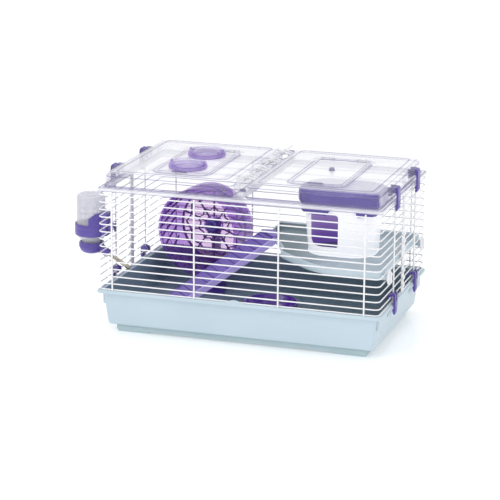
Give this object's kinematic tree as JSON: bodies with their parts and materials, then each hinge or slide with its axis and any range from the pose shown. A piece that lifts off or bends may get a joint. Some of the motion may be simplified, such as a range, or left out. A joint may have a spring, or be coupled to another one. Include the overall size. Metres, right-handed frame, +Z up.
{
  "type": "small pet cage",
  "caption": "Two-level hamster cage with a deep plastic tray, white wire walls, hinged clear lids, shelf, ramp, house, wheel, bowl and water bottle.",
  "frame": {"origin": "middle of the whole outline at floor level, with the water bottle counted", "axes": "+X along the long side towards the shelf and house, +Y to the back, +Z up"},
  "size_m": [0.5448, 0.3068, 0.2835],
  "materials": {
    "tray_blue": "satin",
    "wire_white": "gloss white coating",
    "clear": "clear moulded plastic",
    "purple": "satin",
    "purple_clear": "translucent",
    "shelf_grey": "fine texture",
    "ramp_purple": "satin",
    "house_white": "satin",
    "bowl_purple": "gloss",
    "lock_white": "satin",
    "steel": "polished",
    "rubber": "matte"
  },
  "bodies": {
    "cage": {"tray": "tray_blue", "wire_front": "wire_white", "wire_back": "wire_white", "side_seam_left": "wire_white", "side_seam_right": "wire_white", "top_frame": "clear", "center_bridge": "clear", "hinge_pin": "clear", "platform": "shelf_grey", "house_walls": "house_white", "wheel_stand": "purple", "wheel_axle": "purple", "bottle_holder": "purple", "bottle_cap": "purple", "bottle_seal": "rubber", "drink_tube": "steel", "tube_ball": "steel"},
    "left_lid": {"lid_left": "clear", "hatch_pin_left": "steel"},
    "right_lid": {"lid_right": "clear", "hatch_pin_right": "steel"},
    "left_hatch": {"hatch_left": "clear"},
    "right_hatch": {"hatch_right": "clear", "hatch_knob": "clear"},
    "front_port": {"port_ring_front": "purple_clear", "port_window_front": "clear"},
    "back_port": {"port_ring_back": "purple_clear", "port_window_back": "clear"},
    "lid_clip_fr": {"lid_clip_front_right": "purple"},
    "lid_clip_br": {"lid_clip_back_right": "purple"},
    "lid_clip_fl": {"lid_clip_front_left": "purple"},
    "lid_clip_bl": {"lid_clip_back_left": "purple"},
    "tray_clip_fr": {"tray_clip_front_right": "purple"},
    "tray_clip_br": {"tray_clip_back_right": "purple"},
    "tray_clip_fl": {"tray_clip_front_left": "purple"},
    "tray_clip_bl": {"tray_clip_back_left": "purple"},
    "lock_front": {"platform_lock_front": "lock_white"},
    "lock_back": {"platform_lock_back": "lock_white"},
    "wheel": {"wheel_drum": "purple_clear", "wheel_hub_cap": "purple"},
    "ramp": {"ramp": "ramp_purple"},
    "roof": {"house_roof": "purple"},
    "bowl": {"food_bowl": "bowl_purple"},
    "bottle": {"water_bottle": "clear"}
  },
  "joints": [
    {"name": "left_lid_hinge", "type": "hinge", "parent": "cage", "child": "left_lid", "pos_m": [0.0266, 0, 0.2695], "axis": [0, 1, 0], "range_deg": [0, 80]},
    {"name": "right_lid_hinge", "type": "hinge", "parent": "cage", "child": "right_lid", "pos_m": [0.0266, 0, 0.2695], "axis": [0, 1, 0], "range_deg": [-80, 0]},
    {"name": "left_hatch_hinge", "type": "hinge", "parent": "left_lid", "child": "left_hatch", "pos_m": [-0.0844, 0.0718, 0.2717], "axis": [-1, 0, 0], "range_deg": [0, 95]},
    {"name": "right_hatch_hinge", "type": "hinge", "parent": "right_lid", "child": "right_hatch", "pos_m": [0.1436, 0.0718, 0.2717], "axis": [1, 0, 0], "range_deg": [-95, 0]},
    {"name": "front_port_turn", "type": "hinge", "parent": "left_hatch", "child": "front_port", "pos_m": [-0.0829, -0.071, 0.2711], "axis": [0, 0, 1], "range_deg": [0, 45]},
    {"name": "back_port_turn", "type": "hinge", "parent": "left_hatch", "child": "back_port", "pos_m": [-0.0829, 0.022, 0.2711], "axis": [0, 0, 1], "range_deg": [0, 45]},
    {"name": "lid_clip_fr_pivot", "type": "hinge", "parent": "right_lid", "child": "lid_clip_fr", "pos_m": [0.2636, -0.066, 0.2615], "axis": [0, -1, 0], "range_deg": [0, 95]},
    {"name": "lid_clip_br_pivot", "type": "hinge", "parent": "right_lid", "child": "lid_clip_br", "pos_m": [0.2636, 0.066, 0.2615], "axis": [0, -1, 0], "range_deg": [0, 95]},
    {"name": "lid_clip_fl_pivot", "type": "hinge", "parent": "left_lid", "child": "lid_clip_fl", "pos_m": [-0.2104, -0.066, 0.2615], "axis": [0, 1, 0], "range_deg": [0, 95]},
    {"name": "lid_clip_bl_pivot", "type": "hinge", "parent": "left_lid", "child": "lid_clip_bl", "pos_m": [-0.2104, 0.066, 0.2615], "axis": [0, 1, 0], "range_deg": [0, 95]},
    {"name": "tray_clip_fr_pivot", "type": "hinge", "parent": "cage", "child": "tray_clip_fr", "pos_m": [0.2626, -0.068, 0.0854], "axis": [0, -1, 0], "range_deg": [0, 40]},
    {"name": "tray_clip_br_pivot", "type": "hinge", "parent": "cage", "child": "tray_clip_br", "pos_m": [0.2626, 0.068, 0.0854], "axis": [0, -1, 0], "range_deg": [0, 40]},
    {"name": "tray_clip_fl_pivot", "type": "hinge", "parent": "cage", "child": "tray_clip_fl", "pos_m": [-0.2094, -0.068, 0.0854], "axis": [0, 1, 0], "range_deg": [0, 40]},
    {"name": "tray_clip_bl_pivot", "type": "hinge", "parent": "cage", "child": "tray_clip_bl", "pos_m": [-0.2094, 0.068, 0.0854], "axis": [0, 1, 0], "range_deg": [0, 40]},
    {"name": "lock_front_turn", "type": "hinge", "parent": "cage", "child": "lock_front", "pos_m": [0.2666, -0.11, 0.1289], "axis": [1, 0, 0], "range_deg": [0, 90]},
    {"name": "lock_back_turn", "type": "hinge", "parent": "cage", "child": "lock_back", "pos_m": [0.2666, 0.11, 0.1289], "axis": [1, 0, 0], "range_deg": [0, 90]},
    {"name": "wheel_spin", "type": "hinge", "parent": "cage", "child": "wheel", "pos_m": [-0.114, 0.06, 0.1251], "axis": [0.1513, 0.9885, 0], "continuous": true},
    {"name": "ramp_swing", "type": "hinge", "parent": "cage", "child": "ramp", "pos_m": [0.02699, 0.05214, 0.1385], "axis": [-0.4696, 0.8829, 0], "range_deg": [0, 8]},
    {"name": "roof_lift", "type": "slide", "parent": "cage", "child": "roof", "axis": [0, 0, 1], "range_m": [0, 0.026]},
    {"name": "bowl_lift", "type": "slide", "parent": "cage", "child": "bowl", "axis": [0, 0, 1], "range_m": [0, 0.05]},
    {"name": "bottle_lift", "type": "slide", "parent": "cage", "child": "bottle", "axis": [0, 0, 1], "range_m": [0, 0.035]}
  ]
}
